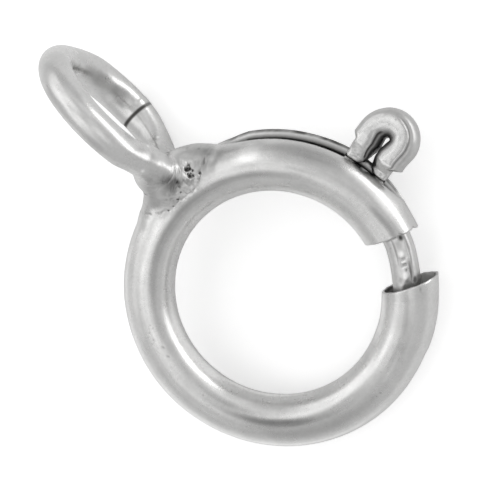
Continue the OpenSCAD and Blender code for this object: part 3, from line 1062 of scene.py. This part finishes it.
def newGroup(name, inputs, outputs):
    # a node group with named inputs (name, kind, value) and outputs (name, kind)
    tree = bpy.data.node_groups.new(name, "ShaderNodeTree")
    for label, kind, value in inputs:
        socket = tree.interface.new_socket(label, in_out="INPUT", socket_type="NodeSocket" + kind)
        if value is not None:
            socket.default_value = value
    for label, kind in outputs:
        tree.interface.new_socket(label, in_out="OUTPUT", socket_type="NodeSocket" + kind)
    return tree, tree.nodes.new("NodeGroupInput"), tree.nodes.new("NodeGroupOutput")


def addNode(tree, kind, links=None, **values):
    # a node with its settings, and its inputs set or linked by name or number
    node = tree.nodes.new("ShaderNode" + kind)
    for key, value in values.items():
        setattr(node, key, value)
    for key, source in (links or {}).items():
        socket = node.inputs[key]
        if isinstance(source, bpy.types.NodeSocket):
            tree.links.new(source, socket)
        else:
            socket.default_value = source
    return node


def mapRange(tree, value, low, high, toLow, toHigh):
    return addNode(tree, "MapRange", {0: value, 1: low, 2: high, 3: toLow, 4: toHigh}).outputs[0]


def maths(tree, kind, a, b=0.0, c=0.0):
    return addNode(tree, "Math", {0: a, 1: b, 2: c}, operation=kind).outputs[0]


def stretched(tree, vector, scale):
    return addNode(tree, "VectorMath", {0: vector, 1: scale}, operation="MULTIPLY").outputs[0]


def noise(tree, vector, scale, detail=2.0, rough=0.5):
    values = {"Vector": vector, "Scale": scale, "Detail": detail, "Roughness": rough}
    return addNode(tree, "TexNoise", values).outputs[0]


def attribute(tree, key, output="Fac"):
    return addNode(tree, "Attribute", attribute_name=key).outputs[output]


def newMaterial(name):
    material = bpy.data.materials.new(name)
    material.use_nodes = True
    tree = material.node_tree
    return material, tree, tree.nodes["Principled BSDF"].inputs


def brushGroup():
    # fine scratches that cross the run and others that follow it, broken up by a soft patchy noise
    tree, source, sink = newGroup(
        "brushMarks",
        [("Run", "Vector", None), ("Across", "Float", 1.0), ("Along", "Float", 1.0)],
        [("Height", "Float"), ("Patch", "Float")],
    )
    run = source.outputs["Run"]
    crossing = noise(tree, stretched(tree, run, (60.0, 6.0, 6.0)), 1.0, 3.0, 0.6)
    following = noise(tree, stretched(tree, run, (2.0, 70.0, 70.0)), 1.0, 3.0, 0.6)
    patch = noise(tree, run, 2.2, 3.0, 0.55)
    fine = noise(tree, run, 24.0, 2.0, 0.6)
    patchMask = mapRange(tree, patch, 0.35, 0.65, 0.0, 1.0)
    across = maths(tree, "MULTIPLY", source.outputs["Across"], patchMask)
    across = maths(tree, "MULTIPLY", crossing, across)
    along = maths(tree, "MULTIPLY", following, source.outputs["Along"])
    height = maths(tree, "MULTIPLY_ADD", fine, 0.25, maths(tree, "ADD", across, along))
    tree.links.new(height, sink.inputs["Height"])
    tree.links.new(patchMask, sink.inputs["Patch"])
    return tree


def specksGroup():
    # small pits and specks, few and uneven, and a patchy tone a little above and below one
    tree, source, sink = newGroup(
        "specks",
        [("Place", "Vector", None), ("Amount", "Float", 0.5), ("Mottle", "Float", 0.05)],
        [("Mask", "Float"), ("Tone", "Float")],
    )
    spot = source.outputs["Place"]
    cells = addNode(tree, "TexVoronoi", {"Vector": spot, "Scale": 7500.0})
    seldom = noise(tree, spot, 1300.0, 2.0)
    dot = mapRange(tree, cells.outputs["Distance"], 0.08, 0.24, 1.0, 0.0)
    where = mapRange(tree, seldom, 0.54, 0.68, 0.0, 1.0)
    mask = maths(tree, "MULTIPLY", maths(tree, "MULTIPLY", dot, where), source.outputs["Amount"])
    tree.links.new(mask, sink.inputs["Mask"])
    broad = mapRange(tree, noise(tree, spot, 2600.0, 3.0, 0.6), 0.3, 0.7, -1.0, 1.0)
    fine = mapRange(tree, noise(tree, spot, 19000.0, 2.0, 0.6), 0.3, 0.7, -1.0, 1.0)
    both = maths(tree, "MULTIPLY_ADD", fine, 0.7, broad)
    tone = maths(tree, "MULTIPLY_ADD", both, source.outputs["Mottle"], 0.97)
    tree.links.new(tone, sink.inputs["Tone"])
    return tree


brushMarks = brushGroup()
specks = specksGroup()

markGain = {"bore": 0.93, "rough": 0.16, "paintedLightAndTone": 0.34, "dirtAndShadeHeight": -1.5}
# the tarnish colour serves for dirt and for painted shade
silverLooks = {
    "bodySilver": {
        "base": (0.660, 0.658, 0.652), "tarnishAndShade": (0.075, 0.073, 0.070), "rough": 0.25, "roughPatch": 0.06,
        "across": 1.1, "along": 0.35, "bump": 0.0000018, "specks": 0.22, "mottle": 0.05,
    },
    "boltSilver": {
        "base": (0.600, 0.598, 0.593), "tarnishAndShade": (0.060, 0.058, 0.056), "rough": 0.19, "roughPatch": 0.06,
        "across": 0.4, "along": 0.9, "bump": 0.0000016, "specks": 0.30, "mottle": 0.07,
    },
    "springSteel": {
        "base": (0.52, 0.52, 0.53), "tarnishAndShade": (0.12, 0.12, 0.12), "rough": 0.28, "roughPatch": 0.08,
        "across": 0.3, "along": 1.0, "bump": 0.0000012, "specks": 0.1, "mottle": 0.05,
    },
}


def silverMaterial(name, look, marked):
    # silver with tone patches, brushed and speckled; marked pieces carry marks of dirt with painted shade,
    # roughness, painted shade in the bore, and painted highlights and shade
    material, tree, shader = newMaterial(name)
    shader["Metallic"].default_value = 1.0
    run = attribute(tree, "run", "Vector")
    spot = addNode(tree, "TexCoord").outputs["Object"]
    brushInputs = {"Run": run, "Across": look["across"], "Along": look["along"]}
    speckInputs = {"Place": spot, "Amount": look["specks"], "Mottle": look["mottle"]}
    brush = addNode(tree, "Group", brushInputs, node_tree=brushMarks).outputs
    speck = addNode(tree, "Group", speckInputs, node_tree=specks).outputs
    dirtAndShade, tone = speck["Mask"], speck["Tone"]
    roughness = mapRange(tree, brush["Patch"], 0.0, 1.0, look["rough"], look["rough"] + look["roughPatch"])
    if marked:
        dirtAndShade = maths(tree, "MAXIMUM", dirtAndShade, attribute(tree, "dirtAndShade"))
        # painted shade in the bore joins the dirt
        bore = maths(tree, "MULTIPLY", attribute(tree, "bore"), markGain["bore"])
        dirtAndShade = maths(tree, "MAXIMUM", dirtAndShade, bore)
        uneven = maths(tree, "MAXIMUM", attribute(tree, "rough"), dirtAndShade)
        roughness = maths(tree, "MULTIPLY_ADD", uneven, markGain["rough"], roughness)
        # painted highlights and painted shade scale the base colour
        paintedLightFactor = maths(tree, "MULTIPLY_ADD", attribute(tree, "paintedLightAndTone"), markGain["paintedLightAndTone"], 1.0)
        tone = maths(tree, "MULTIPLY", tone, paintedLightFactor)
    base, tarnishAndShade = (*look["base"], 1), (*look["tarnishAndShade"], 1)
    colour = addNode(tree, "Mix", {0: dirtAndShade, 6: base, 7: tarnishAndShade}, data_type="RGBA").outputs[2]
    toned = addNode(tree, "Mix", {0: 1.0, 6: colour, 7: tone}, data_type="RGBA", blend_type="MULTIPLY")
    tree.links.new(toned.outputs[2], shader["Base Color"])
    tree.links.new(roughness, shader["Roughness"])
    height = maths(tree, "MULTIPLY_ADD", dirtAndShade, markGain["dirtAndShadeHeight"], brush["Height"])
    bump = addNode(tree, "Bump", {"Height": height, "Distance": look["bump"], "Strength": 1.0})
    tree.links.new(bump.outputs["Normal"], shader["Normal"])
    return material


for piece, name, marked in (
    (ringBody, "bodySilver", True),
    (springStop, "springSteel", False),
    (boltWire, "boltSilver", True),
    (coilSpring, "springSteel", False),
):
    material = bpy.data.materials.get(name) or silverMaterial(name, silverLooks[name], marked)
    piece.data.materials.append(material)
print("materials made")


# floor and light
studio = {
    "floorSize": 400.0,
    "floorBounce": 0.95,    # grey that the metal mirrors
    "floorGrey": 0.95,      # grey that the camera sees, with a little glow, as on overexposed paper
    "floorGlow": 0.34,
    "worldColour": (0.66, 0.66, 0.66),
    "worldStrength": 1.0,
    "lightGain": 1.04,
    "lightDistance": 60.0,
}
softLights = [  # name, direction round the table, height above it, angle it fills across and upward, power
    ("frontLow", 240, 9, 29.6, 18, 0.00384),
    ("frontLowRight", 270, 9, 29.6, 18, 0.00451),
    ("frontRight", 270, 27, 26.7, 18, 0.00053),
    ("backLow", 0, 27, 26.7, 18, 0.00103),
    ("backLowLeft", 30, 27, 26.7, 18, 0.00115),
    ("back", 0, 46, 25, 20, 0.00063),
    ("backMiddle", 36, 46, 25, 20, 0.00147),
    ("backLeft", 72, 46, 25, 20, 0.00110),
    ("overheadLeft", 85, 68, 26, 16, 0.00110),
    ("left", 108, 46, 25, 20, 0.00058),
    ("right", 288, 46, 25, 20, 0.00053),
    ("backRight", 324, 46, 25, 20, 0.00036),
    ("overheadBack", 0, 66, 24.4, 22, 0.00128),
    ("overheadFront", 180, 66, 24.4, 22, 0.00102),
    ("overheadRight", 240, 66, 24.4, 22, 0.00038),
]


def addFloor():
    # a pale square, a little brighter to the camera than to the metal
    half = studio["floorSize"] / 2 * mm
    corners = [(-half, -half, 0), (half, -half, 0), (half, half, 0), (-half, half, 0)]
    mesh = bpy.data.meshes.new("tableTop")
    mesh.from_pydata(corners, [], [(0, 1, 2, 3)])
    floor = addObject("tableTop", mesh)
    material, tree, shader = newMaterial("paleTable")
    shader["Roughness"].default_value = 0.9
    shader["Emission Color"].default_value = (1, 1, 1, 1)
    seen = addNode(tree, "LightPath").outputs["Is Camera Ray"]
    grey = mapRange(tree, seen, 0.0, 1.0, studio["floorBounce"], studio["floorGrey"])
    tree.links.new(grey, shader["Base Color"])
    tree.links.new(maths(tree, "MULTIPLY", seen, studio["floorGlow"]), shader["Emission Strength"])
    mesh.materials.append(material)


def addLights():
    far = studio["lightDistance"] * mm
    for name, heading, rise, wide, high, power in softLights:
        data = bpy.data.lights.new(name, "AREA")
        data.shape = "RECTANGLE"
        data.size = 2 * far * np.tan(np.radians(wide / 2))
        data.size_y = 2 * far * np.tan(np.radians(high / 2))
        data.energy = power * studio["lightGain"]
        lamp = addObject(name, data)
        lamp.visible_camera = False
        back = polar(np.cos(np.radians(rise)), heading, np.sin(np.radians(rise)))
        aim(lamp, back * far, back, (0, 0, 1))


addFloor()
addLights()
world = bpy.data.worlds.new("studio")
world.use_nodes = True
background = world.node_tree.nodes["Background"].inputs
background["Color"].default_value = (*studio["worldColour"], 1)
background["Strength"].default_value = studio["worldStrength"]
bpy.context.scene.world = world
bpy.context.scene.view_settings.view_transform = "Standard"
print("table and light placed")
